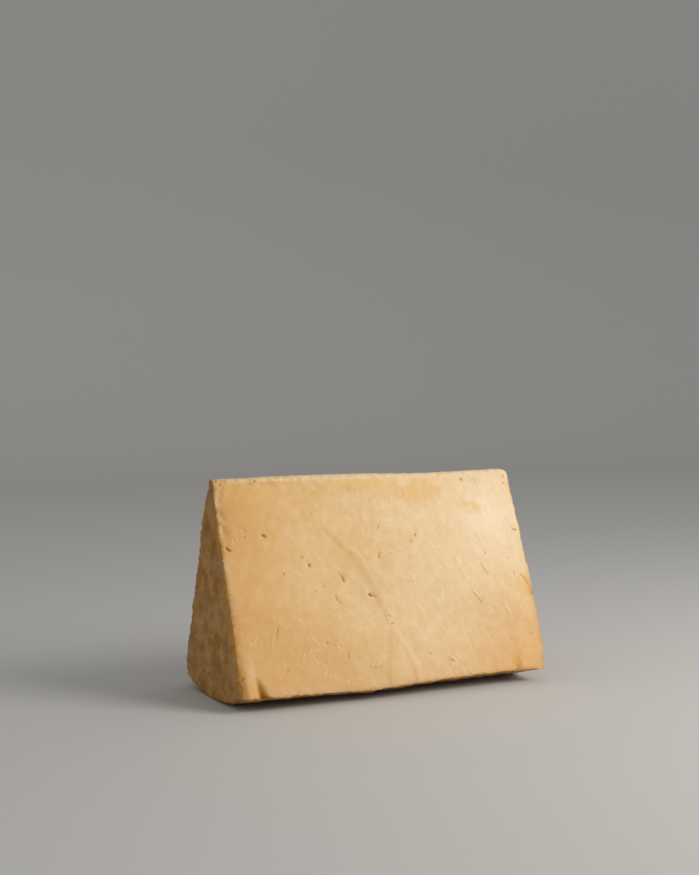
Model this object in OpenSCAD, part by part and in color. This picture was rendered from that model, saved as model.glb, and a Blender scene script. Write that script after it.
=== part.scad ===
// A wedge of cloth-bound cheddar: one sector of a tall wheel, cut through its whole height.
// It stands on the curved rind with the blunt nose, the middle of the wheel, on top.
// X runs along the wheel's axis, -Y is the front cut face, and Z is up from the resting face.

/* [Wheel] */
// Radius of the wheel that the wedge is cut from
wheel_r = 170; // [120:1:220]
// Height of that wheel, which is the length of the wedge
wheel_h = 255; // [150:1:320]

/* [Cuts] */
// Angle from the plane below the wheel's axis forward to the front cut
front_cut = 21; // [12:0.5:30]
// Angle from the same plane back to the back cut
back_cut = 20; // [12:0.5:30]
// Radius of the blunt nose where the two cuts meet
nose_r = 4.5; // [3:0.5:10]

/* [Worn edges] */
// Radius where the front cut meets the rind
front_rim_r = 6; // [3:0.5:12]
// Radius where the back cut meets the rind
back_rim_r = 18; // [3:0.5:25]
// Radius round the left end face
left_edge_r = 3; // [1:0.5:8]
// Radius round the right end face
right_edge_r = 5; // [1:0.5:8]

/* [Resting face] */
// How deep the rind is pressed flat where the wedge stands on it
flat_depth = 0.7; // [0.3:0.1:1.5]

/* [Unevenness] */
// Height of the slow waves that the cutting wire leaves
cut_wave = 0.7; // [0:0.1:1.5]
// Height of the same waves along the nose
nose_wave = 1.4; // [0:0.1:2]
// Length of those waves
cut_wave_length = 150; // [80:5:250]
// Height of the bumps of the rind
rind_bump = 0.8; // [0:0.1:1.5]
// Length of those bumps
rind_bump_length = 46; // [30:1:90]

/* [Pressed dents] */
// Depth of the finger notch in the lower left corner of the front cut
notch_depth = 4.5; // [0:0.5:8]
// Distance of that notch from the left end
notch_from_left = 15; // [10:1:40]
// Width of the notch
notch_w = 8; // [6:1:20]
// Depth of the shallow dent beside the right end
dent_depth = 1.6; // [0:0.2:3]
// Depth of the small nick in the lower right of the front cut
nick_depth = 2; // [0:0.2:4]

/* [Hidden] */

paste_colour = [0.93, 0.79, 0.56];

// Angle between the two cuts, and the direction halfway between them
sector = front_cut + back_cut;
bisector = (back_cut - front_cut) / 2;

// The wheel's axis lies above the resting face
axis_z = wheel_r - flat_depth;

// Steps of the section: nose, each cut, each worn rim edge and the rind
nose_steps = 6;
cut_steps = 17;
front_rim_steps = 4;
back_rim_steps = 7;
rind_steps = 14;

// Steps along the wedge: worn end edges, end faces, and the close and wide rings of the body
edge_steps = 3;
face_steps = 7;
fine_pitch = 2.6;
coarse_pitch = 6;
fine_stretch = 2 * notch_from_left;

// Half width of the strip under the wedge where its weight has pressed the bumps out
pressed_strip = 20;

// Radius that the nose and the rim edges keep where the ends narrow, so that they never turn inside out
least_turn = 0.5;

// Dents: [distance from an end, distance in from the rim, half width, half height, depth]
left_dents = [
    [notch_from_left, 2, notch_w / 2, 11, notch_depth],
    [4, wheel_r - 48, 3, 7, 0.8],
];
right_dents = [
    [4, 58, 11, 10, dent_depth],
    [25, 2, 6, 9, nick_depth],
];

// Unit vector in the YZ plane, measured from straight down and positive towards the back
function dir(a) = [sin(a), -cos(a)];

// A point and its outward normal
function spot(place, normal) = [place, normal];

// Points of an arc whose normals turn from angle a to angle b
function arc(centre, r, a, b, steps) =
    [for (k = [0:steps]) let (t = a + (b - a) * k / steps) spot(centre + r * dir(t), dir(t))];

// Points between two spots, without the spots themselves
function line_between(from, to, steps) =
    [for (k = [1:steps - 1]) spot(from[0] + (to[0] - from[0]) * k / steps, from[1])];

function last(list) = list[len(list) - 1];

// The section of the wedge round the wheel's axis, as a closed loop of spots. A rim edge of radius r
// touches its cut and the rind, so its centre lies that turn in from the cut.
function rim_turn(r) = asin(r / (wheel_r - r));
rind_from = rim_turn(front_rim_r) - front_cut;
rind_to = back_cut - rim_turn(back_rim_r);

// How far the two worn rims reach in front of and behind the wheel's axis. The origin is midway
// between them.
front_reach = front_rim_r - (wheel_r - front_rim_r) * sin(rind_from);
back_reach = back_rim_r + (wheel_r - back_rim_r) * sin(rind_to);
axis_y = (front_reach - back_reach) / 2;

front_rim = arc((wheel_r - front_rim_r) * dir(rind_from), front_rim_r,
    -front_cut - 90, rind_from, front_rim_steps);
rind = arc([0, 0], wheel_r, rind_from, rind_to, rind_steps);
back_rim = arc((wheel_r - back_rim_r) * dir(rind_to), back_rim_r,
    rind_to, back_cut + 90, back_rim_steps);
nose = arc(nose_r / sin(sector / 2) * dir(bisector), nose_r,
    back_cut + 90, 270 - front_cut, nose_steps);
section = concat(
    front_rim,
    [for (k = [1:rind_steps - 1]) rind[k]],
    back_rim,
    line_between(last(back_rim), nose[0], cut_steps),
    nose,
    line_between(last(nose), front_rim[0], cut_steps)
);
points_round = len(section);
middle = 0.62 * wheel_r * dir(bisector);

// How far the section narrows at an end whose edge has that radius
function end_inset(edge_r) = min(edge_r, min(nose_r, front_rim_r, back_rim_r) - least_turn);

// Rings along X: [x, inset from the section, share of the way out from the middle, lean of the normal]
function end_face(x, side, edge_r) =
    [for (k = [1:face_steps]) [x, end_inset(edge_r), k / (face_steps + 1), side * 90]];
function end_edge(x, side, edge_r) =
    [for (k = [0:edge_steps]) let (a = 90 * (1 - k / edge_steps))
        [x - side * edge_r * (1 - sin(a)), end_inset(edge_r) * (1 - cos(a)), 1, side * a]];
function body_rings(from, to, pitch) =
    let (n = max(1, ceil((to - from) / pitch)))
    [for (k = [1:n]) [from + (to - from) * k / n, 0, 1, 0]];
function backwards(list) = [for (k = [len(list) - 1:-1:0]) list[k]];
function but_last(list) = [for (k = [0:len(list) - 2]) list[k]];

left_x = -wheel_h / 2;
right_x = wheel_h / 2;
body_from = left_x + left_edge_r;
body_to = right_x - right_edge_r;
fine_to = min(left_x + fine_stretch, body_to - coarse_pitch);

// Where along X the slow waves start, so that the nose rises left of the middle and dips right of it
wave_shift = 35;
rings = concat(
    end_face(left_x, -1, left_edge_r),
    end_edge(left_x, -1, left_edge_r),
    body_rings(body_from, fine_to, fine_pitch),
    but_last(body_rings(fine_to, body_to, coarse_pitch)),
    backwards(end_edge(right_x, 1, right_edge_r)),
    backwards(end_face(right_x, 1, right_edge_r))
);

// Slow waves between -1 and 1: crossed sines, each bent a little by the other
function waves(u, v, length) =
    let (a = 360 * u / length, b = 360 * v / length)
    (cos(a + 40 * sin(b)) * cos(b * 0.9) + 0.5 * sin(b * 1.7 + a * 0.6 + 30)) / 1.5;

// How far a bell of that half width is up at distance d from its top
function bell(d, half_width) = exp(-pow(d / half_width, 2));

// Depth of all dents at a point: u from an end, v in from the rim
function pressed(dents, u, v, k = 0) =
    k >= len(dents) ? 0
    : let (d = dents[k]) d[4] * bell(u - d[0], d[2]) * bell(v - d[1], d[3]) + pressed(dents, u, v, k + 1);

// The way out of the front cut. All dents are pressed against it, because on a worn rim the
// normals meet, and a dent along them would fold the rim through itself.
front_out = [0, -cos(front_cut), sin(front_cut)];

// The uneven surface: a plain point moves along its normal. The cuts and the nose carry slow
// waves, the rind carries bumps, and the front cut carries the dents.
function uneven(place, normal) =
    let (
        cut = min(1, abs(normal.y) + max(0, normal.z)),
        cut_height = cut_wave + (nose_wave - cut_wave) * pow(max(0, normal.z), 2),
        slow = cut_height * waves(place.x + wave_shift, place.z + 0.8 * place.y, cut_wave_length),
        bumps = rind_bump * waves(place.x + place.y, place.z + 0.6 * place.x, rind_bump_length),
        resting = max(0, -normal.z) * bell(place.y, pressed_strip),
        from_rim = wheel_r - norm([place.y, place.z]),
        dents = max(0, -normal.y) * (pressed(left_dents, place.x - left_x, from_rim)
            + pressed(right_dents, right_x - place.x, from_rim))
    )
    place + normal * (cut * slow + (1 - cut) * (1 - resting) * bumps) - front_out * dents;

// A point of the finished surface, with the rind pressed flat under the wedge
function surface_point(ring, s) =
    let (
        plain = middle + ring[2] * (s[0] - ring[1] * s[1] - middle),
        normal = [sin(ring[3]), cos(ring[3]) * s[1].x, cos(ring[3]) * s[1].y],
        moved = uneven([ring[0], plain.x, plain.y], normal)
    )
    [moved.x, moved.y + axis_y, max(0, moved.z + axis_z)];

function end_point(x, side) =
    uneven([x, middle.x, middle.y], [side, 0, 0]) + [0, axis_y, axis_z];

// Two triangles for each step round each pair of rings
function wall(ring, k) =
    let (
        next = (k + 1) % points_round,
        a = ring * points_round + k,
        b = ring * points_round + next,
        c = a + points_round,
        d = b + points_round
    )
    [[a, c, b], [b, c, d]];

module cheddar_wedge() {
    skin_points = [for (ring = rings) for (s = section) surface_point(ring, s)];
    left_end = len(skin_points);
    right_end = left_end + 1;
    last_ring = (len(rings) - 1) * points_round;
    faces = concat(
        [for (ring = [0:len(rings) - 2]) for (k = [0:points_round - 1]) each wall(ring, k)],
        [for (k = [0:points_round - 1]) [left_end, k, (k + 1) % points_round]],
        [for (k = [0:points_round - 1]) [right_end, last_ring + (k + 1) % points_round, last_ring + k]]
    );
    color(paste_colour)
        polyhedron(
            concat(skin_points, [end_point(left_x, -1), end_point(right_x, 1)]),
            faces,
            convexity = 4
        );
}

cheddar_wedge();
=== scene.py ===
# %% [markdown]
# # A wedge of cloth-bound cheddar
#
# A cheddar wheel is a short drum of pressed curd that ripens in a cloth. This wedge is one sector
# of such a wheel, cut with a wire through its whole height. It stands on its curved rind, with the
# middle of the wheel, a blunt nose, on top. The lesson shapes one solid and gives it one finish
# that changes from waxy paste to dull rind.
#
# The CAD part has the right size and place, so it is loaded first and measured.

import math
import random

import bmesh
import bpy
import numpy as np
from mathutils import Euler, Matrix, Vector, noise


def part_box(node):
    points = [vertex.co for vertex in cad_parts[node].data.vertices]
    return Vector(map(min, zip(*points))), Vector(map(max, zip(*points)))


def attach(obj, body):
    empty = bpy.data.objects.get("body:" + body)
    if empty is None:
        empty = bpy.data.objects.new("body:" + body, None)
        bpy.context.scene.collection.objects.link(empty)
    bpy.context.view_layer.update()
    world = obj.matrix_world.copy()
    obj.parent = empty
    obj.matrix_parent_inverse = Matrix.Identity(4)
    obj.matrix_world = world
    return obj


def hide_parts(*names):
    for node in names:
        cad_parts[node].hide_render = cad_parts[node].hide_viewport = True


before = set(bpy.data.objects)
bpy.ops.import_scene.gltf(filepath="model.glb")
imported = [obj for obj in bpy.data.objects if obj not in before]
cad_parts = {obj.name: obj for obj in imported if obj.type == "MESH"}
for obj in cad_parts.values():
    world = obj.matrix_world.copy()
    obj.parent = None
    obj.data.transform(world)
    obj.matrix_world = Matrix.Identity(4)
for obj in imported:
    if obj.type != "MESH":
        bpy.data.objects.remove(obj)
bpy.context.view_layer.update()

# %% [markdown]
# ## Sizes
#
# The wheel's radius, its height and the angles of the two cuts fix the wedge. The box of the CAD
# node says where it stands: the wheel's axis runs along X, above the pressed resting face. The
# origin is midway between the two rims, so the axis is off it by half the difference of how far
# they reach. Each rim edge touches its cut and the rind, and its centre lies in from the cut by a
# small turn.

# %% Sizes in metres
MM = 0.001
wheel_r = 170 * MM
wheel_h = 255 * MM
front_cut = math.radians(21)
back_cut = math.radians(20)
nose_r = 4.5 * MM
front_rim_r = 6 * MM
back_rim_r = 18 * MM
left_edge_r = 3 * MM
right_edge_r = 5 * MM
flat_depth = 0.7 * MM
same_place = 0.01 * MM

low, high = (Vector(corner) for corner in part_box("cheddar_wedge"))
centre_x = (low.x + high.x) / 2
left_x = centre_x - wheel_h / 2
right_x = centre_x + wheel_h / 2
front_turn = math.asin(front_rim_r / (wheel_r - front_rim_r)) - front_cut
back_turn = back_cut - math.asin(back_rim_r / (wheel_r - back_rim_r))
front_reach = front_rim_r - (wheel_r - front_rim_r) * math.sin(front_turn)
back_reach = back_rim_r + (wheel_r - back_rim_r) * math.sin(back_turn)
axis_y = (front_reach - back_reach) / 2
axis_z = low.z + wheel_r - flat_depth
print("wheel's axis at y", round(axis_y, 4), "z", round(axis_z, 4))

# %% [markdown]
# ## Camera
#
# The camera stands a metre away, a little above the nose, and looks slightly down. It sees the
# front cut and, strongly foreshortened, the rind on the left end.

# %% Camera
camera_data = bpy.data.cameras.new("camera")
camera_data.lens = 56.9
camera_data.sensor_width = 36
camera = bpy.data.objects.new("camera", camera_data)
bpy.context.scene.collection.objects.link(camera)
camera.location = (-0.4912, -0.9385, 0.2278)
looks_down = math.radians(2.09)
looks_aside = math.radians(26.89)
camera.rotation_euler = Euler((math.radians(90) - looks_down, 0, -looks_aside))
bpy.context.scene.camera = camera
bpy.context.scene.view_settings.view_transform = "Standard"
print("camera at", tuple(round(value, 3) for value in camera.location))

# %% [markdown]
# ## Floor and light
#
# A studio sweep is one sheet of pale card: it lies flat under the object and curves up behind it,
# so that there is no horizon. An edge is extruded back, spun through a quarter turn and extruded up.

# %% Floor
def make_floor():
    """A sheet that lies flat, then curves up behind the wedge."""
    mesh = bmesh.new()
    front_y, back_y = -2.5, 2.2
    half_width, bend_r, wall_high = 4.0, 1.0, 3.0
    ends = [bmesh.ops.create_vert(mesh, co=(side * half_width, front_y, 0))["vert"][0]
            for side in (-1, 1)]
    edge = bmesh.ops.contextual_create(mesh, geom=ends)["edges"]
    grown = bmesh.ops.extrude_edge_only(mesh, edges=edge)["geom"]
    moved = [part for part in grown if isinstance(part, bmesh.types.BMVert)]
    bmesh.ops.translate(mesh, verts=moved, vec=(0, back_y - front_y, 0))
    edge = [part for part in grown if isinstance(part, bmesh.types.BMEdge)]
    bend = bmesh.ops.spin(mesh, geom=edge, axis=(1, 0, 0), cent=(0, back_y, bend_r),
                          angle=math.radians(90), steps=24)
    edge = [part for part in bend["geom_last"] if isinstance(part, bmesh.types.BMEdge)]
    grown = bmesh.ops.extrude_edge_only(mesh, edges=edge)["geom"]
    moved = [part for part in grown if isinstance(part, bmesh.types.BMVert)]
    bmesh.ops.translate(mesh, verts=moved, vec=(0, 0, wall_high))
    data = bpy.data.meshes.new("floor")
    mesh.to_mesh(data)
    mesh.free()
    for face in data.polygons:
        face.use_smooth = True
    floor = bpy.data.objects.new("floor", data)
    bpy.context.scene.collection.objects.link(floor)
    return floor


floor = make_floor()
card = bpy.data.materials.new("pale_card")
card.use_nodes = True
card_shader = card.node_tree.nodes["Principled BSDF"]
card_shader.inputs["Base Color"].default_value = (0.62, 0.61, 0.59, 1)
card_shader.inputs["Roughness"].default_value = 0.9
floor.data.materials.append(card)
floor_top = max(vert.co.z for vert in floor.data.vertices)
print("floor", len(floor.data.polygons), "faces, back edge at z", round(floor_top, 2))

# %% [markdown]
# One large soft light stands to the right, in front and above. It is close, so the front cut is
# brightest at its right end. The left end only gets the weak light of the room.

# %% Light
def add_soft_light(name, place, target, size, power, colour):
    """A square area light at place that faces target."""
    data = bpy.data.lights.new(name, "AREA")
    data.size = size
    data.energy = power
    data.color = colour
    light = bpy.data.objects.new(name, data)
    light.location = place
    light.rotation_euler = (Vector(target) - Vector(place)).to_track_quat("-Z", "Y").to_euler()
    bpy.context.scene.collection.objects.link(light)
    return light


key_light = add_soft_light("key_light", place=(0.75, -0.85, 0.75), target=(0, 0, 0.08),
                           size=0.7, power=10.8, colour=(1.0, 0.965, 0.91))
room = bpy.data.worlds.new("room")
room.use_nodes = True
room_light = room.node_tree.nodes["Background"]
room_light.inputs["Color"].default_value = (1.0, 1.0, 1.0, 1)
room_light.inputs["Strength"].default_value = 0.40
bpy.context.scene.world = room
print("key light", key_light.data.energy, "W")

# %% [markdown]
# ## The body of the wedge
#
# Seen along the wheel's axis, the wedge is a narrow slice of a disc with worn corners. Its outline
# is four arcs: the front rim, the long curve of the rind, the rounder back rim and the blunt nose.
# Spinning a single point round a centre draws an arc exactly. A bevel would also round the
# corners, but it can't be wider than the short faces of the rind beside it, and would stay too small.

# %% Draw the section
def out_from_axis(angle):
    """Unit vector away from the wheel's axis, at that angle from straight down, positive to the back."""
    return Vector((0, math.sin(angle), -math.cos(angle)))


def draw_arc(mesh, centre, radius, start, end, steps):
    """Spins one point from angle start to angle end."""
    point = bmesh.ops.create_vert(mesh, co=centre + out_from_axis(start) * radius)["vert"]
    bmesh.ops.spin(mesh, geom=point, axis=(1, 0, 0), cent=centre, angle=end - start, steps=steps)


def draw_section(mesh, rim_steps=6, rind_steps=24, round_steps=10):
    """The wedge's outline at its left end: four arcs, and one straight edge for each cut."""
    axis = Vector((left_x, axis_y, axis_z))
    quarter = math.radians(90)
    middle = (back_cut - front_cut) / 2
    nose_out = nose_r / math.sin((front_cut + back_cut) / 2)
    draw_arc(mesh, axis + out_from_axis(front_turn) * (wheel_r - front_rim_r), front_rim_r,
             -front_cut - quarter, front_turn, rim_steps)
    draw_arc(mesh, axis, wheel_r, front_turn, back_turn, rind_steps)
    draw_arc(mesh, axis + out_from_axis(back_turn) * (wheel_r - back_rim_r), back_rim_r,
             back_turn, back_cut + quarter, round_steps)
    draw_arc(mesh, axis + out_from_axis(middle) * nose_out, nose_r,
             back_cut + quarter, 3 * quarter - front_cut, round_steps)
    bmesh.ops.remove_doubles(mesh, verts=mesh.verts, dist=same_place)
    loose = [vert for vert in mesh.verts if len(vert.link_edges) == 1]
    for side in (-1, 1):
        ends = [vert for vert in loose if side * (vert.co.y - axis_y) > 0]
        bmesh.ops.contextual_create(mesh, geom=ends)


body = bmesh.new()
draw_section(body)
print("section:", len(body.verts), "points,", len(body.edges), "edges")

# %% [markdown]
# The outline becomes a face, the face is extruded along the wheel's height, and the edges round
# the two ends are bevelled. The volume shows whether the solid is the right one.

# %% Extrude and wear the ends
def extrude_wedge(mesh):
    """Extrudes the section along the wheel's height and rounds both ends."""
    face = bmesh.ops.edgeloop_fill(mesh, edges=mesh.edges)["faces"]
    grown = bmesh.ops.extrude_face_region(mesh, geom=face)["geom"]
    moved = [part for part in grown if isinstance(part, bmesh.types.BMVert)]
    bmesh.ops.translate(mesh, verts=moved, vec=(wheel_h, 0, 0))
    for x, radius in ((left_x, left_edge_r), (right_x, right_edge_r)):
        loop = [edge for edge in mesh.edges
                if all(abs(vert.co.x - x) < 10 * same_place for vert in edge.verts)]
        bmesh.ops.bevel(mesh, geom=loop, offset=radius, offset_type="OFFSET", segments=4,
                        profile=0.5, affect="EDGES", material=-1, clamp_overlap=True)
    bmesh.ops.recalc_face_normals(mesh, faces=mesh.faces)


extrude_wedge(body)
open_edges = sum(len(edge.link_faces) != 2 for edge in body.edges)
litres = round(body.calc_volume() * 1000, 3)
print("solid:", len(body.verts), "points,", litres, "litres, open edges", open_edges)

# %% [markdown]
# Long thin faces can't be sculpted. A voxel remesh lays an even net of small squares over the same
# shape, as clay would be dusted over a former. It is applied at once, because the next steps move
# its points.

# %% Remesh evenly
def to_object(mesh, name):
    """A new scene object with the bmesh as its mesh."""
    data = bpy.data.meshes.new(name)
    mesh.to_mesh(data)
    mesh.free()
    thing = bpy.data.objects.new(name, data)
    bpy.context.scene.collection.objects.link(thing)
    return thing


def remesh(thing, pitch):
    """Replaces the mesh by an even net of that pitch."""
    modifier = thing.modifiers.new("even_net", "REMESH")
    modifier.mode = "VOXEL"
    modifier.voxel_size = pitch
    graph = bpy.context.evaluated_depsgraph_get()
    even = bpy.data.meshes.new_from_object(thing.evaluated_get(graph))
    thing.modifiers.clear()
    thing.data = even


net_pitch = 1.6 * MM
wedge = to_object(body, "cheddar")
remesh(wedge, net_pitch)
print("net", len(wedge.data.vertices), "points,", len(wedge.data.polygons), "faces")

# %% [markdown]
# ## Marks on the cuts
#
# Curd knits together under the press, but not everywhere. A cut shows small pits, short cracks and
# slits where it didn't. A mark runs from one place to another, each given as millimetres from
# the left end and millimetres out from the wheel's axis. With it go its half width and its depth.
# The clear marks are listed one by one, and smaller ones are scattered with a fixed seed.

# %% Pits and cracks
front_marks = [
    # from (along, out), to (along, out), half width, depth
    ((67, 77), (67, 77), 0.8, 1.5),
    ((45, 83), (46, 82), 0.45, 0.7),
    ((61, 71), (62, 71), 0.5, 0.4),
    ((90, 85), (92, 88), 0.3, 0.6),
    ((92, 88), (93, 91), 0.45, 1.1),
    ((112, 102), (113, 103), 0.85, 1.4),
    ((114, 103), (117, 105), 0.35, 0.6),
    ((84, 102), (85, 106), 0.35, 0.6),
    ((85, 106), (88, 108), 0.35, 0.4),
    ((75, 94), (76, 94), 0.4, 0.4),
    ((154, 64), (155, 63), 0.4, 0.7),
    ((159, 59), (160, 58), 0.45, 1.0),
    ((213, 85), (215, 90), 0.35, 0.6),
    ((215, 90), (217, 94), 0.35, 0.5),
    ((202, 108), (205, 112), 0.3, 0.4),
    ((205, 112), (207, 115), 0.4, 0.7),
    ((219, 76), (219, 76), 0.45, 0.8),
    ((239, 93), (239, 95), 0.4, 0.5),
    ((124, 75), (126, 71), 0.35, 0.6),
    ((128, 52), (129, 50), 0.35, 0.5),
    ((135, 72), (135, 72), 0.45, 0.4),
    ((125, 119), (126, 120), 0.45, 0.6),
    ((125, 126), (127, 125), 0.4, 0.6),
    ((71, 135), (71, 135), 0.6, 0.8),
    ((86, 144), (86, 144), 0.6, 0.7),
    ((77, 138), (77, 138), 0.35, 0.4),
    ((81, 138), (81, 138), 0.35, 0.4),
    ((244, 142), (244, 142), 0.5, 0.8),
    ((33, 11), (33, 12), 0.8, 1.2),
    ((132, 11), (132, 12), 0.5, 0.7),
    ((69, 23), (69, 23), 0.4, 0.4),
    ((210, 15), (210, 16), 0.55, 0.8),
    ((248, 14), (248, 15), 0.55, 0.8),
    ((247, 20), (247, 20), 0.6, 1.0),
    ((246, 58), (249, 59), 0.45, 0.8),
    ((242, 50), (242, 50), 0.4, 0.5),
    ((253, 110), (253, 110), 0.9, 1.3),
    ((5, 61), (7, 63), 0.6, 1.4),
    ((1, 153), (3, 152), 0.6, 1.0),
    ((33, 53), (35, 54), 0.6, 0.9),
    ((20, 53), (20, 54), 0.5, 0.7),
    ((35, 119), (32, 129), 0.3, 0.5),
    ((171, 153), (173, 154), 0.35, 0.7),
    ((36, 151), (38, 149), 0.3, 0.4),
    ((244, 95), (253, 109), 0.6, 0.4),
    ((6, 157), (6, 157), 0.4, 0.5),
    ((8, 152), (8, 152), 0.35, 0.4),
    ((5, 161), (6, 161), 0.4, 0.4),
    ((4, 148), (4, 149), 0.35, 0.35),
    ((9, 163), (9, 163), 0.35, 0.4),
]


def scatter_marks(count, seed, depths, longer=1):
    """Small pits and short slits anywhere on a cut, away from its edges."""
    draw = random.Random(seed)
    marks = []
    for _ in range(count):
        along = draw.uniform(12, 245)
        out = draw.uniform(20, 160)
        lean = math.radians(draw.uniform(20, 80))
        length = draw.choice((0, 0, 0.5, 1, 2)) * longer
        end = (along + length * math.cos(lean), out + length * math.sin(lean))
        marks.append(((along, out), end, draw.uniform(0.3, 0.55), draw.uniform(*depths)))
    return marks


front_marks += scatter_marks(16, 3, (0.15, 0.45))
back_marks = scatter_marks(22, 11, (0.2, 0.6)) + scatter_marks(12, 12, (0.8, 1.4))
print(len(front_marks), "marks on the front cut,", len(back_marks), "on the back cut")

# %% [markdown]
# Where curds knitted badly, the wire also leaves thin pale seams that stand a little proud, and it
# tears out tiny crumbs that stick beside them. Both are raised marks: a seam is a line, and a
# trail of crumbs is scattered along a line.

# %% Pale seams
front_seams = [
    ((30, 127), (28, 136), 0.35, 0.16),
    ((27, 139), (26, 144), 0.35, 0.12),
    ((11, 132), (15, 131), 0.4, 0.25),
    ((15, 131), (17, 127), 0.4, 0.25),
    ((197, 94), (201, 100), 0.5, 0.3),
    ((201, 100), (204, 109), 0.45, 0.3),
    ((150, 93), (154, 100), 0.5, 0.3),
    ((135, 46), (141, 48), 0.35, 0.3),
    ((160, 59), (162, 61), 0.45, 0.3),
    # These three follow the fold's crest; their cream also paints the highlight where the crest catches
    # the light.
    ((103, 68), (108, 71), 0.5, 0.25),
    ((108, 71), (112, 79), 0.4, 0.2),
    ((113, 81), (118, 94), 0.35, 0.12),
    ((88, 50), (98, 60), 0.35, 0.1),
    ((214, 58), (217, 66), 0.5, 0.25),
    ((217, 66), (218, 74), 0.45, 0.25),
    ((226, 117), (230, 127), 0.5, 0.3),
    ((167, 152), (175, 154), 0.4, 0.2),
    ((52, 82), (60, 85), 0.5, 0.15),
    ((87, 80), (92, 83), 0.4, 0.2),
    ((37, 115), (34, 121), 0.4, 0.2),
    ((52, 140), (50, 146), 0.5, 0.15),
    ((60, 131), (64, 136), 0.5, 0.2),
    ((192, 80), (194, 83), 1.6, 0.25),
]


def crumb_trail(start, end, count, seed, spread=0.8):
    """Tiny torn crumbs along a line."""
    draw = random.Random(seed)
    crumbs_here = []
    for _ in range(count):
        share = draw.random()
        along = start[0] + share * (end[0] - start[0]) + draw.uniform(-spread, spread)
        out = start[1] + share * (end[1] - start[1]) + draw.uniform(-spread, spread)
        crumbs_here.append(((along, out), (along, out), draw.uniform(0.3, 0.6), draw.uniform(0.25, 0.5)))
    return crumbs_here


trails = [
    # from (along, out), to (along, out), crumbs, spread
    ((9, 57), (17, 55), 9, 0.5),
    ((18, 54), (26, 53), 6, 0.7),
    ((34, 51), (38, 55), 7, 1.2),
    ((212, 14), (226, 20), 12, 2.0),
    ((104, 151), (111, 150), 9, 0.8),
    ((170, 151), (175, 154), 8, 1.2),
    ((124, 117), (126, 128), 14, 1.5),
    ((1, 18), (3, 50), 10, 1.0),
    ((1, 50), (1, 110), 12, 0.6),
    ((56, 135), (78, 158), 20, 7),
    ((192, 82), (206, 108), 14, 2.5),
    ((155, 60), (160, 58), 4, 0.8),
    ((30, 9), (225, 10), 60, 1.5),
    ((250, 30), (252, 150), 20, 1.2),
]
for seed, (start, end, count, spread) in enumerate(trails):
    front_seams += crumb_trail(start, end, count, 40 + seed, spread)
front_seams += scatter_marks(26, 21, (0.08, 0.2), 2)
back_seams = scatter_marks(60, 22, (0.08, 0.3), 3) + crumb_trail((0, 9), (250, 10), 50, 70, 1.5)
back_seams += crumb_trail((5, 30), (245, 160), 50, 71, 60)
print(len(front_seams), "seams on the front cut,", len(back_seams), "on the back cut")

# %% [markdown]
# Pits are finer than the net, so the net is divided where they lie, and along the crumbly nose and
# the front rim. Close round each mark it is divided once more. The subdivide operator splits only
# the edges that it is given.

# %% Points as arrays
def read_points(thing):
    """Places and normals of all points, and their coordinates on the wedge in millimetres."""
    count = len(thing.data.vertices)
    place = np.empty(count * 3)
    thing.data.vertices.foreach_get("co", place)
    place = place.reshape(-1, 3)
    normal = np.empty(count * 3)
    thing.data.vertex_normals.foreach_get("vector", normal)
    normal = normal.reshape(-1, 3)
    y = (place[:, 1] - axis_y) / MM
    z = (place[:, 2] - axis_z) / MM
    return {
        "place": place, "normal": normal, "x": place[:, 0] / MM, "y": y, "z": z,
        "along": (place[:, 0] - left_x) / MM, "out": np.hypot(y, z), "angle": np.arctan2(y, -z),
    }


def distance_to_line(along, out, start, end):
    """Distance from each point to a line on the cut, in millimetres."""
    start, end = np.array(start, float), np.array(end, float)
    run = end - start
    length = max(float(run @ run), 1e-9)
    share = np.clip(((along - start[0]) * run[0] + (out - start[1]) * run[1]) / length, 0, 1)
    return np.hypot(along - start[0] - share * run[0], out - start[1] - share * run[1])


middle_angle = (back_cut - front_cut) / 2


def refine(thing, reach, nose_out, rim_in):
    """Divides the net once: within reach of each mark, along the nose and along the front rim."""
    at = read_points(thing)
    fine = at["out"] < nose_out
    near_front = at["angle"] < math.radians(rim_in / 3) - front_cut
    fine |= (at["out"] > wheel_r / MM - rim_in) & near_front
    on_front_side = at["angle"] < middle_angle
    for lines, on_cut in ((front_marks + front_seams, on_front_side),
                          (back_marks + back_seams, ~on_front_side)):
        for start, end, half_width, depth in lines:
            across = distance_to_line(at["along"], at["out"], start, end)
            fine |= on_cut & (across < half_width + reach)
    mesh = bmesh.new()
    mesh.from_mesh(thing.data)
    mesh.verts.ensure_lookup_table()
    edges = [edge for edge in mesh.edges
             if fine[edge.verts[0].index] and fine[edge.verts[1].index]]
    bmesh.ops.subdivide_edges(mesh, edges=edges, cuts=1, use_grid_fill=True)
    mesh.to_mesh(thing.data)
    mesh.free()


refine(wedge, reach=1.6, nose_out=16, rim_in=9)
refine(wedge, reach=0.5, nose_out=0, rim_in=0)
print("refined to", len(wedge.data.vertices), "points")

# %% [markdown]
# ## Shape the surface
#
# The surface is shaped like a sculpture, with moves of its points. Each function below gives a
# height in millimetres, and the heights add up. First come the slow waves that a cutting wire
# leaves, and the bumps of the rind, as the CAD part has them.

# %% Waves and bumps
def waves(u, v, length):
    """Slow waves between -1 and 1: crossed sines, each bent a little by the other."""
    a = 2 * math.pi * u / length
    b = 2 * math.pi * v / length
    bent = np.cos(a + math.radians(40) * np.sin(b)) * np.cos(0.9 * b)
    crossing = 0.5 * np.sin(1.7 * b + 0.6 * a + math.radians(30))
    return (bent + crossing) / 1.5


def bell(distance, half_width):
    """1 at distance 0, falling smoothly to 0 on both sides."""
    return np.exp(-(distance / half_width) ** 2)


def rise(value, start, end):
    """0 before start, 1 after end, and smooth between."""
    share = np.clip((value - start) / (end - start), 0, 1)
    return share * share * (3 - 2 * share)


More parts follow.
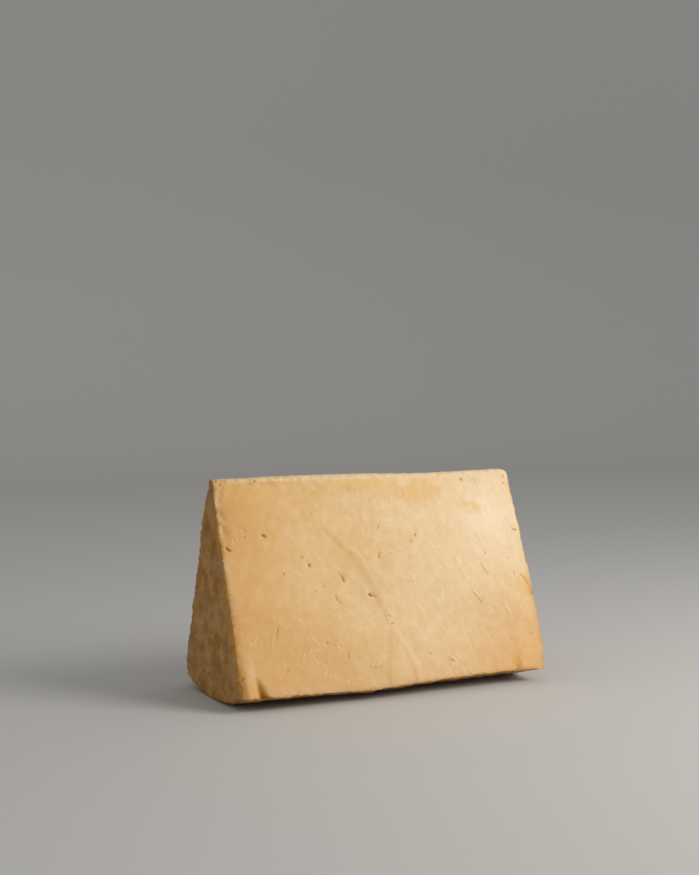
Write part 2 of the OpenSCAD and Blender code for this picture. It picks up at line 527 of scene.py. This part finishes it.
def grain(at, size, seed, octaves=2):
    """Noise between about -1 and 1, with lumps of that size in millimetres."""
    shift = Vector((seed * 17.3, seed * 5.1, seed * 9.7))
    return np.array([noise.fractal(Vector(point) / (size * MM) + shift, 0.8, 2.1, octaves)
                     for point in at["place"]])


at = read_points(wedge)
normal = at["normal"]
from_axis = at["out"]
from_rim = wheel_r / MM - from_axis
from_left = at["along"]
from_right = wheel_h / MM - from_left
to_front = -(normal[:, 1] * math.cos(front_cut) - normal[:, 2] * math.sin(front_cut))
to_back = normal[:, 1] * math.cos(back_cut) + normal[:, 2] * math.sin(back_cut)
on_front = rise(to_front, 0.55, 0.95)
on_back = rise(to_back, 0.55, 0.95)
on_end = rise(np.abs(normal[:, 0]), 0.35, 0.85)
down_out = (normal[:, 1] * at["y"] + normal[:, 2] * at["z"]) / from_axis
on_rind = rise(down_out, 0.35, 0.85) * (1 - on_end)
cut_share = np.clip(np.abs(normal[:, 1]) + np.maximum(0, normal[:, 2]), 0, 1)

# Heights and lengths in millimetres, as in the CAD part
cut_wave, nose_wave, wave_length, wave_shift = 0.7, 1.4, 150, 35
rind_bump, bump_length = 0.8, 46
pressed_strip = 20

cut_height = cut_wave + (nose_wave - cut_wave) * np.maximum(0, normal[:, 2]) ** 2
slow = cut_height * waves(at["x"] + wave_shift, at["z"] + 0.8 * at["y"], wave_length)
bumps = rind_bump * waves(at["x"] + at["y"], at["z"] + 0.6 * at["x"], bump_length)
resting = np.maximum(0, -normal[:, 2]) * bell(at["y"], pressed_strip)
height = cut_share * slow + (1 - cut_share) * (1 - resting) * bumps
print("waves from", round(float(height.min()), 2), "to", round(float(height.max()), 2), "mm")

# %% [markdown]
# The lower left corner of the front cut has a deep notch where a finger pulled: a crease with a
# narrow flank on its left and a wide one on its right, deepest at the rim. Shallow dents lie beside
# both ends, and a narrow crease runs up from the rim near the right one. All are pressed straight
# into the cut, so they move points along the cut's own direction and not along each point's.

# %% Dents
def dent(along, deep, half_width, half_height, depth, from_end):
    """A round dent at that distance from an end and that distance in from the rim."""
    return depth * bell(from_end - along, half_width) * bell(from_rim - deep, half_height)


notch_high, notch_depth = 18, 6.8
notch_share = np.clip(1 - from_rim / notch_high, 0, 1)
from_crease = from_left - (14.2 - 0.06 * from_rim + 2.6 * notch_share)
left_flank = np.clip(1 + from_crease / 6.5, 0, 1)
right_flank = np.clip(1 - from_crease / (0.9 + 6.4 * notch_share), 0, 1)
flanks = np.where(from_crease < 0, left_flank ** 1.4, right_flank)
notch = notch_depth * notch_share ** 0.8 * flanks
dents = (
    # from its end, in from the rim, half width, half height, depth, which end
    (4, 122, 3, 7, 0.8, from_left),
    (4, 58, 11, 10, 1.6, from_right),
    (27, 0, 3, 13, 3.2, from_right),
)
pressed = (notch + sum(dent(*values) for values in dents)) * rise(to_front, 0.2, 0.9)
print("deepest dent", round(float(pressed.max()), 2), "mm")

# %% [markdown]
# A long fold runs down the front cut, where the curd closed over itself: a low step that is steep
# on its left side and fades out to the right. It ends in a raised tongue that widens towards the rim.

# %% Folds
fold_out = (40, 46, 70, 82, 97, 112, 124)
fold_along = (78, 82, 103, 111, 117, 122, 125)
tongue_out = (126, 136, 144, 154, 170)
tongue_left = (125, 123, 120, 118, 115)
tongue_right = (127, 132, 137, 141.5, 143)


def past_line(outs, alongs):
    """How far right of a line down the cut each point lies, in millimetres."""
    return from_left - np.interp(from_axis, outs, alongs)


fold_height, tongue_height, tongue_edge = 0.6, 0.55, 0.35
past_fold = past_line(fold_out, fold_along)
fades_right = np.exp(-np.maximum(0, past_fold) / 15)
down_fold = rise(from_axis, 36, 62) * (1 - rise(from_axis, 112, 128))
folds = fold_height * rise(past_fold, -5.5, 1.5) * fades_right * down_fold
past_tongue = past_line(tongue_out, tongue_right)
inside_tongue = rise(past_line(tongue_out, tongue_left), -3, 3) * (1 - rise(past_tongue, -1.0, 1.4))
tongue = (tongue_height + tongue_edge * bell(past_tongue + 1.5, 1.6)) * inside_tongue
folds += tongue * rise(from_axis, 124, 138)
folds *= on_front

# Fine wrinkles lean down to the right, and are strongest in the right half.
wrinkle_height = 0.16
lean = math.radians(62)
across_lean = from_left * math.sin(lean) - from_axis * math.cos(lean)
down_lean = from_left * math.cos(lean) + from_axis * math.sin(lean)
drawn_out = np.column_stack((across_lean, 0.22 * down_lean, 0 * down_lean)) * MM
creases = grain({"place": drawn_out}, 4.5, 6)
wrinkle = np.clip(1 - 4 * np.abs(creases), 0, 1) * on_front
wrinkle *= rise(from_left, 90, 190) * rise(from_axis, 18, 40)
folds += wrinkle_height * wrinkle
print("folds up to", round(float(folds.max()), 2), "mm")

# %% [markdown]
# The nose is the driest place and crumbles, and so does the lip at the upper left, where the cut
# meets the rind. The rind itself is lumpy from its cloth. Both ends bulge a little, and the lower
# right corner is drawn in.

# %% Crumbs, lips and lumps
coarse = grain(at, 14, 1)
medium = grain(at, 5, 2)
fine = grain(at, 2.4, 3, 1)

crumbly_nose = 1 - rise(from_axis, 9 + 2 * coarse, 16 + 2 * coarse)
nose_strip = 1 - rise(from_axis + 0.5 * coarse, 11.8, 12.8)
nose_rise = np.interp(from_left, (0, 10, 50, 75, 100, 150, 190, 235, 255),
                      (0.5, 1.2, 1.7, 0.6, 0, 0.3, 0.2, 0.3, 0.8))
crumbly_lip = on_front * bell(from_left - 3, 6) * (1 - rise(from_axis, 40, 56))
lip_edge = on_front * bell(from_left - 1.2, 1.6) * (1 - 0.7 * rise(from_axis, 110, 140))
low_lobe = on_front * bell(from_left - 5, 4) * rise(from_axis, 135, 160)
flakes = np.abs(grain({"place": at["place"] * np.array((1.6, 1, 0.5))}, 3, 4))
crumbs = crumbly_nose * (0.3 * medium + 0.25 * fine - 0.4 + nose_rise) + 0.25 * nose_strip
crumbs += crumbly_lip * (0.5 * medium + 0.3 * fine + 1.2 * flakes - 0.2)
crumbs += lip_edge * (0.4 + 0.5 * medium + 0.4 * fine)

on_left = on_end * (normal[:, 0] < 0)
corner_in = 5.2
right_bulge = 1.7 * bell(from_axis - 92, 55) + 1.0 * rise(from_axis, 25, 50)
right_bulge *= rise(from_left, 205, 252)
right_bulge -= corner_in * rise(from_axis, 148, 170) * rise(from_left, 215, 253)
left_bulge = 1.3 * bell(from_axis - 32, 28) + 0.8 * bell(from_axis - 85, 35)
left_bulge *= (1 - rise(from_left, 3, 45)) * rise(from_axis, 8, 26)

softer = -0.8 * on_front * bell(from_left, 4) * rise(from_axis, 90, 130)
back_rim_in = -2.6 * bell(from_left, 25) * np.clip(to_back + down_out - 1, 0, 1)

ends_and_rind = np.maximum(on_end, on_rind)
lumps = ends_and_rind * (1 - resting) * (0.6 * coarse + 0.4 * medium + 0.35 * fine)
cut_grain = np.maximum(on_front, on_back) * (0.12 * coarse + 0.06 * medium)
wobble = 0.35 * medium * bell(from_rim - 1, 5) + 0.3 * medium * bell(from_right, 4)
wobble += (0.5 * coarse + 0.4 * medium + 0.35 * fine) * bell(from_left, 4) * rise(from_axis, 14, 40)
height = height + folds + crumbs + 1.5 * low_lobe + lumps + cut_grain + wobble * (1 - resting)
height += softer + back_rim_in
print("crumbs up to", round(float(crumbs.max()), 2), "mm")

# %% [markdown]
# Now the marks are pressed in. Each is a narrow bell round its line, and its edge is ragged because
# noise widens and narrows it. How deep a point lies in a mark is kept for the finish, which paints
# shade into pits and slits by it.

# %% Press the marks
def press_marks(marks, on_cut):
    """Depth of all marks at each point, and how far each point lies in one, from 0 to 1."""
    depth_here = np.zeros(len(from_left))
    inside = np.zeros(len(from_left))
    for start, end, half_width, depth in marks:
        across = distance_to_line(from_left, from_axis, start, end)
        core = bell(across * (1 + 0.3 * medium + 0.25 * fine), half_width)
        depth_here = np.maximum(depth_here, depth * core)
        inside = np.maximum(inside, core ** 1.5 * min(1, depth / 1.2))
    return depth_here * on_cut, inside * on_cut


front_depth, front_inside = press_marks(front_marks, on_front)
back_depth, back_inside = press_marks(back_marks, on_back)
height -= front_depth + back_depth
hollow_shade = np.maximum(front_inside, back_inside)
front_raised, front_seam = press_marks(front_seams, on_front)
back_raised, back_seam = press_marks(back_seams, on_back)
height += (front_raised + back_raised) * (0.8 + 0.4 * medium)
seam_and_crest_highlight = np.clip(3.5 * np.maximum(front_seam, back_seam) * (0.7 + 0.8 * medium) + 0.1 * wrinkle, 0, 1)
print("deepest mark", round(float(max(front_depth.max(), back_depth.max())), 2), "mm")

# %% [markdown]
# All heights are added along the normals and the dents straight into the cut. A worn edge gets
# sharper when the net beside it is stretched towards both of its faces. The middle of the front rim
# sags down the cut, away from the wheel's axis, and both ends bulge. The right end of the nose is
# rounded by pulling points in onto an arc, and nothing goes below the floor.

# %% Move the points
def round_corner(place, radius):
    """Pulls the upper right corner in onto an arc, seen from the front."""
    beside = (place[:, 0] > right_x - 4 * radius) & (place[:, 0] < right_x - 1.5 * radius)
    turn_x = right_x - radius
    turn_z = place[beside, 2].max() - radius
    reach = np.hypot(place[:, 0] - turn_x, place[:, 2] - turn_z)
    outside = (place[:, 0] > turn_x) & (place[:, 2] > turn_z) & (reach > radius)
    pull = np.where(outside, radius / np.maximum(reach, 1e-9), 1)
    place[:, 0] = turn_x + (place[:, 0] - turn_x) * pull
    place[:, 2] = turn_z + (place[:, 2] - turn_z) * pull


def tighten(first, second, radius, new_radius, taper=28):
    """How far to stretch towards each of two faces, given each point's distances in from them."""
    towards_first = np.minimum(first / radius, 1) * (1 - rise(first, radius, radius + taper))
    towards_second = np.minimum(second / radius, 1) * (1 - rise(second, radius, radius + taper))
    towards_first *= 1 - rise(second, radius, 2 * radius)
    towards_second *= 1 - rise(first, radius, 2 * radius)
    change = (radius - new_radius) * MM
    return change * towards_first[:, None], change * towards_second[:, None]


# In millimetres: the radii of the front rim, of the front cut's right edge and of the rind's right
# edge after the stretch, and how far the rim sags
crisp_rim, crisp_side, crisp_foot = 1.8, 4, 3.5
sag_depth = 2.8
upper_corner_r = 7.5 * MM

front_out = np.array((0, -math.cos(front_cut), math.sin(front_cut)))
rind_out = np.column_stack((0 * at["y"], at["y"], at["z"])) / from_axis[:, None]
right_out = np.array((1, 0, 0))
from_front = np.maximum(0, at["y"] * math.cos(front_cut) - at["z"] * math.sin(front_cut))
in_from_rim = np.maximum(0, from_rim)
in_from_right = np.maximum(0, from_right)
down_cut = np.array((0, -math.sin(front_cut), -math.cos(front_cut)))
past_rim = np.maximum(0, np.degrees(at["angle"] + front_cut))
sag = sag_depth * bell(from_left - 98, 58) * rise(from_axis, 120, 165) * bell(past_rim, 12)
place = at["place"] + normal * (height * MM)[:, None]
place += down_cut * (sag * MM)[:, None] - front_out * (pressed * MM)[:, None]
place[:, 0] += (right_bulge - left_bulge) * MM
to_cut, to_rind = tighten(from_front, in_from_rim, front_rim_r / MM, crisp_rim)
place += front_out * to_cut + rind_out * to_rind
to_cut, to_end = tighten(from_front, in_from_right, right_edge_r / MM, crisp_side)
place += front_out * to_cut + right_out * to_end
before_back = (1 - rise(at["angle"], math.radians(-2), math.radians(8)))[:, None]
to_rind, to_end = tighten(in_from_rim, in_from_right, right_edge_r / MM, crisp_foot)
place += (rind_out * to_rind + right_out * to_end) * before_back
round_corner(place, upper_corner_r)
place[:, 2] = np.maximum(place[:, 2], low.z)
wedge.data.vertices.foreach_set("co", place.ravel())
wedge.data.update()
for face in wedge.data.polygons:
    face.use_smooth = True
triangles = sum(len(face.vertices) - 2 for face in wedge.data.polygons)
print("the wedge has", triangles, "triangles")

# %% [markdown]
# ## Masks for the finish
#
# The finish changes from place to place: rind or paste, near the rind or deep inside, in a pit or
# on a crumbly edge. These shares are stored on the points as attributes, and the material reads them.
# Stains, warm and bright patches are listed as millimetres along and out.

# %% Stored numbers and soft patches
def store(name, values):
    """Keeps one number for each point under that name."""
    layer = wedge.data.attributes.new(name, "FLOAT", "POINT")
    layer.data.foreach_set("value", np.asarray(values, dtype=np.float32))


def patches_of(spots):
    """Sum of soft spots, each given as along, out, half width, half height and strength."""
    total = np.zeros(len(from_left))
    for along, out, half_width, half_height, strength in spots:
        total += strength * bell(from_left - along, half_width) * bell(from_axis - out, half_height)
    return total


stains = patches_of([
    (34.2, 53.2, 1.8, 1.9, 1.0), (109, 20, 2.5, 1.6, 0.6), (114, 21.5, 1.6, 1.2, 0.5),
    (210, 15, 1.8, 1.6, 0.7), (222, 17, 6, 2.5, 0.3), (171, 153, 2.2, 2.0, 0.5),
    (107, 151, 3.5, 1.2, 0.5), (61, 71, 1.2, 0.8, 0.5),
])
# Golden paste; the patch at 98, 74 paints in gold the shade on the steep left side of the fold.
warm_patches_and_fold_shade = patches_of([
    (30, 18, 24, 7, 0.7), (22, 34, 20, 22, 0.6), (120, 17, 26, 5, 1.1), (173, 23, 15, 9, 1.1),
    (216, 38, 16, 8, 0.6), (150, 27, 28, 6, 0.5), (246, 104, 8, 9, 1.3), (252, 26, 2.5, 12, 0.9),
    (98, 74, 12, 14, 0.5), (240, 152, 20, 20, 0.5), (111, 138, 8, 8, 0.5), (229, 164, 2.0, 9, 0.9),
    (3, 158, 4, 14, 0.8),
])
# Paler cream paste; the patch at 11, 158 is a painted highlight on the lit left flank of the notch.
pale_patches_and_highlight = patches_of([
    (11, 158, 2.2, 13, 1.6), (228, 46, 22, 22, 1.6), (131, 152, 6, 12, 0.5), (150, 45, 40, 12, 0.3),
    (70, 80, 28, 40, 0.3),
])
edge_stains = patches_of([
    (254, 78, 1.6, 9, 0.7), (253.5, 110, 2.2, 3, 0.9), (254, 34, 1.5, 8, 0.4),
    (254.5, 128, 1.2, 10, 0.5), (250, 101, 1.4, 7, 0.35),
])
upper_left = patches_of([
    (8, 30, 20, 26, 0.65), (7, 158, 6, 12, 0.4), (110, 64, 7, 18, 0.2), (120, 100, 6, 14, 0.2),
])
print("patches up to", round(float(max(warm_patches_and_fold_shade.max(), pale_patches_and_highlight.max())), 2))

# %% [markdown]
# The first masks say where the rind is and how near it a point lies. The others mark what the shaping
# made: pits, seams, crumbs, the notch and the turned edges. The notch mask holds a painted shadow on
# the notch's right flank.

# %% Store the masks
skin_depth = np.minimum(np.minimum(from_left, from_right), from_rim)
off_rind = (1 - on_end) * (1 - on_rind)

rind_mask = np.maximum(rise(-normal[:, 0], 0.35, 0.85), rise(normal[:, 0], 0.62, 0.95))
rind_mask = np.maximum(rind_mask, rise(down_out, 0.55, 0.95))
skin_share = rise(from_axis, 60, 130) * (0.4 + 0.6 * rise(from_left, 20, 200))
skin_share += 0.5 * (1 - rise(from_left, 5, 20))
# Painted shadow: the notch's right flank, which faces away from the key light.
notch_shadow = np.clip(notch / 2.2, 0, 1) * rise(from_crease, -0.5, 0.4) * rise(right_flank, 0.0, 0.35)
rim_band = bell(from_axis - 168, 5) * rise(from_left, 20, 34) * (1 - 0.6 * rise(from_left, 110, 200))
rim_share = 0.55 * rise(from_axis, 128, 172) + 0.8 * rise(from_left, 150, 240) * rise(from_axis, 80, 135)
rim_share += 0.5 * (1 - rise(from_left, 0, 36))
left_turn = bell(-normal[:, 0] - 0.42, 0.22) * (1 - on_rind) * (1 - 0.8 * rise(from_axis, 148, 162))
low_down = 1 - rise(at["place"][:, 2] / MM, 8, 40)

store("rind", rind_mask)
store("skin_depth", np.maximum(0, skin_depth))
store("skin_share", skin_share)
store("hollow_shade", hollow_shade)
store("seam_and_crest_highlight", seam_and_crest_highlight)
store("crumbly", np.clip(crumbly_nose * 0.5 + 0.3 * lip_edge, 0, 1) * off_rind)
store("lip", np.clip(1.2 * crumbly_lip, 0, 1))
store("specky", on_left * low_down)
store("edge_stain", edge_stains)
store("stain", stains * on_front)
store("warm_and_fold_shade", warm_patches_and_fold_shade * on_front)
store("pale_and_highlight", pale_patches_and_highlight * on_front)
store("nose_strip", nose_strip * (1 - on_end))
store("notch", notch_shadow * on_front)
store("rim_band", rim_band * on_front)
# Painted shade: the left end gets darker towards the front cut.
store("painted_front_shade", on_left * rise(-np.degrees(at["angle"]), -16, 18))
store("left_share", 1 - rise(from_left, 0, 250))
store("rim_share", rim_share)
store("left_turn", np.maximum(left_turn, upper_left * on_front))
store("rind_edge", on_left * bell(from_front - 2, 4.5) * rise(from_axis, 12, 60))
store("crest", on_front * bell(from_left - 2.2, 1.1) * (1 - rise(from_axis, 105, 135)))
# Painted shade: faces that turn down.
store("under", rise(-normal[:, 2], 0.3, 0.8))
print("masks", [layer.name for layer in wedge.data.attributes if layer.data_type == "FLOAT"])

# %% [markdown]
# ## The finish
#
# Cheddar paste is a pale waxy yellow. Light goes a few millimetres into it and softens it, so the
# shader has subsurface scattering. It is deeper and more orange towards the rind, mottled where
# the curds meet, and lighter where it crumbles. The rind is dull brown with grey bloom. Small
# helper functions keep the node tree readable.

# %% Node helpers
cheese = bpy.data.materials.new("cheddar_paste_and_rind")
cheese.use_nodes = True
tree = cheese.node_tree
shader = tree.nodes["Principled BSDF"]


def put(socket, value):
    """Links a node's output to a socket, or sets a plain value on it."""
    if isinstance(value, bpy.types.NodeSocket):
        tree.links.new(value, socket)
    else:
        socket.default_value = value


def mask(name):
    """The numbers that were stored on the points under that name."""
    node = tree.nodes.new("ShaderNodeAttribute")
    node.attribute_name = name
    return node.outputs["Fac"]


def maths(operation, first, second=0.0, clamp=False):
    """One sum, difference or product of sockets or plain values."""
    node = tree.nodes.new("ShaderNodeMath")
    node.operation = operation
    node.use_clamp = clamp
    put(node.inputs[0], first)
    put(node.inputs[1], second)
    return node.outputs[0]


def mix(share, first, second):
    """A colour between two colours."""
    node = tree.nodes.new("ShaderNodeMix")
    node.data_type = "RGBA"
    put(node.inputs["Factor"], share)
    put(node.inputs["A"], first if isinstance(first, bpy.types.NodeSocket) else (*first, 1))
    put(node.inputs["B"], second if isinstance(second, bpy.types.NodeSocket) else (*second, 1))
    return node.outputs["Result"]


def between(value, start, end, to_start=0.0, to_end=1.0):
    """Maps start..end smoothly onto to_start..to_end."""
    node = tree.nodes.new("ShaderNodeMapRange")
    node.interpolation_type = "SMOOTHSTEP"
    put(node.inputs["Value"], value)
    ends = {"From Min": start, "From Max": end, "To Min": to_start, "To Max": to_end}
    for name, number in ends.items():
        put(node.inputs[name], number)
    return node.outputs["Result"]


def cover(base, mask_name, strength, colour):
    """Lays a colour over the base where that mask is."""
    return mix(maths("MULTIPLY", mask(mask_name), strength), base, colour)


def ragged(value, noise_value, spread):
    """Moves a value up and down with noise, so that its edges wander."""
    return maths("ADD", value, maths("MULTIPLY", maths("SUBTRACT", noise_value, 0.5), spread))


coordinates = tree.nodes.new("ShaderNodeTexCoord").outputs["Object"]


def speckle(size, detail=2.0, roughness=0.5, stretch=(1, 1, 1), turn=(0, 0, 0), distortion=0.0):
    """Noise on the object's own coordinates, with lumps of that size in metres."""
    place_node = tree.nodes.new("ShaderNodeMapping")
    put(place_node.inputs["Vector"], coordinates)
    place_node.inputs["Scale"].default_value = stretch
    place_node.inputs["Rotation"].default_value = turn
    node = tree.nodes.new("ShaderNodeTexNoise")
    put(node.inputs["Vector"], place_node.outputs[0])
    node.inputs["Scale"].default_value = 1 / size
    node.inputs["Detail"].default_value = detail
    node.inputs["Roughness"].default_value = roughness
    node.inputs["Distortion"].default_value = distortion
    return node.outputs["Fac"]


print("helpers ready for", cheese.name)

# %% [markdown]
# The paste is built up in layers, from the widest change of colour to the smallest.

# %% Paste
patches = speckle(0.055, 3, 0.55)
mottle = speckle(0.007, 4, 0.65, distortion=0.6)
curd = speckle(0.0026, 3, 0.6)
drawn = speckle(0.006, 3, 0.6, stretch=(1, 1, 0.3), turn=(0, math.radians(-32), 0))
flake = speckle(0.0022, 3, 0.6, stretch=(1, 1, 0.35))

pale = (0.83, 0.61, 0.35)
deep = (0.75, 0.42, 0.11)
orange = (0.66, 0.34, 0.11)
golden = (0.80, 0.485, 0.14)
rim_gold = (0.72, 0.40, 0.13)
crumb_colour = (0.90, 0.72, 0.47)
cream = (0.93, 0.74, 0.50)
strip_colour = (0.82, 0.65, 0.42)
lip_colour = (0.62, 0.36, 0.13)
flake_colour = (0.72, 0.47, 0.22)
stain_brown = (0.42, 0.18, 0.035)
edge_colour = (0.60, 0.31, 0.05)
mauve = (0.40, 0.22, 0.16)
rosy = (0.66, 0.40, 0.22)
slit_shade_colour = (0.62, 0.27, 0.025)
pit_shade_colour = (0.27, 0.11, 0.012)
notch_shadow_colour = (0.42, 0.20, 0.010)

deeper = maths("ADD", maths("MULTIPLY", mask("left_share"), 0.62), maths("MULTIPLY", patches, 0.35))
deeper = ragged(ragged(deeper, mottle, 0.35), drawn, 0.35)
paste = mix(between(deeper, 0.1, 1.0), pale, deep)
# Paler paste, and a painted highlight on the notch's lit flank.
paste = cover(paste, "pale_and_highlight", 0.55, cream)
paste = cover(paste, "rim_share", 0.85, rim_gold)
# Golden paste, and gold painted shade beside the fold.
golden_share = between(ragged(mask("warm_and_fold_shade"), mottle, 0.9), 0.2, 0.8)
paste = mix(maths("MULTIPLY", golden_share, 0.6), paste, golden)
paste = cover(paste, "rim_band", between(mottle, 0.35, 0.6, 0.3, 0.8), rosy)
near_skin = between(ragged(mask("skin_depth"), mottle, 9), 9, 0.5, 0, 0.8)
paste = cover(paste, "skin_share", near_skin, orange)
paste = mix(maths("MULTIPLY", between(curd, 0.56, 0.70), 0.14), paste, crumb_colour)
paste = cover(paste, "nose_strip", between(mottle, 0.3, 0.6, 0.2, 0.65), strip_colour)
paste = cover(paste, "lip", 0.75, lip_colour)
paste = cover(paste, "lip", between(flake, 0.48, 0.62, 0, 0.8), flake_colour)
paste = cover(paste, "left_turn", 0.75, edge_colour)
paste = cover(paste, "crest", between(mottle, 0.4, 0.62, 0, 0.4), crumb_colour)
paste = cover(paste, "edge_stain", between(mottle, 0.35, 0.6, 0.2, 0.85), stain_brown)
paste = cover(paste, "crumbly", between(mottle, 0.42, 0.60, 0.0, 0.65), crumb_colour)
paste = cover(paste, "stain", between(curd, 0.4, 0.55), mauve)
# Painted shadow in the notch, dark olive.
paste = cover(paste, "notch", 0.9, notch_shadow_colour)
# Pale seams and crumbs, and a painted highlight along the fold's crest.
paste = cover(paste, "seam_and_crest_highlight", 0.75, cream)
# Painted shade in pits and slits: golden in shallow ones, dark brown where they are deep.
paste = mix(between(mask("hollow_shade"), 0.05, 0.6, 0, 0.75), paste, slit_shade_colour)
paste = mix(between(mask("hollow_shade"), 0.6, 1.0, 0, 0.9), paste, pit_shade_colour)
print("paste has", len(tree.nodes), "nodes so far")

# %% [markdown]
# The rind dried in its cloth. It is brown with lilac-grey bloom in patches and thin streaks that run
# up and down. Dark specks lie low on the left end. Shade is painted on it too: a little darker brown
# near the front cut on the left end, and a darker brown where it faces down.

# %% Rind
brown = (0.45, 0.205, 0.047)
tan = (0.66, 0.365, 0.11)
bloom = (0.50, 0.325, 0.185)
speck_colour = (0.13, 0.08, 0.04)
underside_shade_brown = (0.30, 0.14, 0.05)
painted_shade_brown = (0.24, 0.11, 0.035)
rind_gold = (0.72, 0.34, 0.06)

rind = mix(between(speckle(0.016, 5, 0.65), 0.38, 0.62), brown, tan)
streaks = speckle(0.004, 2, 0.5, stretch=(1, 1, 0.25))
rind = mix(maths("MULTIPLY", between(streaks, 0.5, 0.75), 0.35), rind, tan)
bloom_share = between(speckle(0.02, 5, 0.7, distortion=0.8), 0.52, 0.64)
rind = mix(maths("MULTIPLY", bloom_share, 0.5), rind, bloom)
# Painted shade on the rind's underside.
rind = cover(rind, "under", 0.6, underside_shade_brown)
# Painted shade on the left end, near the front cut.
rind = cover(rind, "painted_front_shade", 0.08, painted_shade_brown)
rind = cover(rind, "rind_edge", between(mottle, 0.35, 0.6, 0.25, 0.75), rind_gold)
specks = between(speckle(0.004, 2, 0.5), 0.62, 0.70)
speck_share = maths("ADD", maths("MULTIPLY", mask("specky"), 0.65), 0.06)
rind = mix(maths("MULTIPLY", specks, speck_share), rind, speck_colour)

rind_share = between(ragged(mask("rind"), mottle, 0.5), 0.35, 0.65)
put(shader.inputs["Base Color"], mix(rind_share, paste, rind))
print("rind added, now", len(tree.nodes), "nodes")

# %% [markdown]
# The cut paste is satin, because its fat comes to the surface, and the rind is matt. Finer relief
# than the net can hold is bump: curd grain and wire scratches on the paste, and the print of the
# cloth's weave on the rind.

# %% Gloss and relief
gloss = between(mottle, 0.3, 0.7, 0.42, 0.56)
roughness = maths("ADD", maths("MULTIPLY", rind_share, 0.34), gloss, clamp=True)
put(shader.inputs["Roughness"], roughness)

scratches = speckle(0.004, 3, 0.6, stretch=(1, 1, 0.3), turn=(0, math.radians(30), 0))
scratch_share = maths("SUBTRACT", 1.0, mask("left_share"))

# A wave repeats every 2 pi / (20 * scale) metres, which makes the threads about 1.1 mm apart.
weave_scale = 280


def ribs(direction):
    """Fine parallel ribs, as the threads of a cloth leave."""
    node = tree.nodes.new("ShaderNodeTexWave")
    node.bands_direction = direction
    put(node.inputs["Vector"], coordinates)
    node.inputs["Scale"].default_value = weave_scale
    node.inputs["Distortion"].default_value = 1.2
    return node.outputs["Fac"]


weave = maths("MULTIPLY", maths("ADD", ribs("X"), ribs("Y")), ribs("Z"))
scratched = maths("MULTIPLY", maths("MULTIPLY", scratches, scratch_share), 1.4)
paste_relief = maths("ADD", maths("MULTIPLY", curd, 0.5), scratched)
lumpy = maths("MULTIPLY", speckle(0.003, 4, 0.7), 3.0)
rind_relief = maths("ADD", maths("MULTIPLY", weave, 1.5), lumpy)
relief = tree.nodes.new("ShaderNodeMix")
put(relief.inputs["Factor"], rind_share)
put(relief.inputs["A"], paste_relief)
put(relief.inputs["B"], rind_relief)
bump = tree.nodes.new("ShaderNodeBump")
bump.inputs["Distance"].default_value = 0.35 * MM
bump.inputs["Strength"].default_value = 0.6
put(bump.inputs["Height"], relief.outputs["Result"])
put(shader.inputs["Normal"], bump.outputs["Normal"])

shader.inputs["Subsurface Weight"].default_value = 0.25
shader.inputs["Subsurface Radius"].default_value = (1.0, 0.55, 0.2)
shader.inputs["Subsurface Scale"].default_value = 3 * MM
put(shader.inputs["Specular IOR Level"], between(mask("notch"), 0, 1, 0.4, 0.05))
wedge.data.materials.clear()
wedge.data.materials.append(cheese)
print("finish has", len(tree.nodes), "nodes")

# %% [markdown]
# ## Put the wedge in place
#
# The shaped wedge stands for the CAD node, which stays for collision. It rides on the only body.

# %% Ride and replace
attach(wedge, "root")
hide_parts("cheddar_wedge")
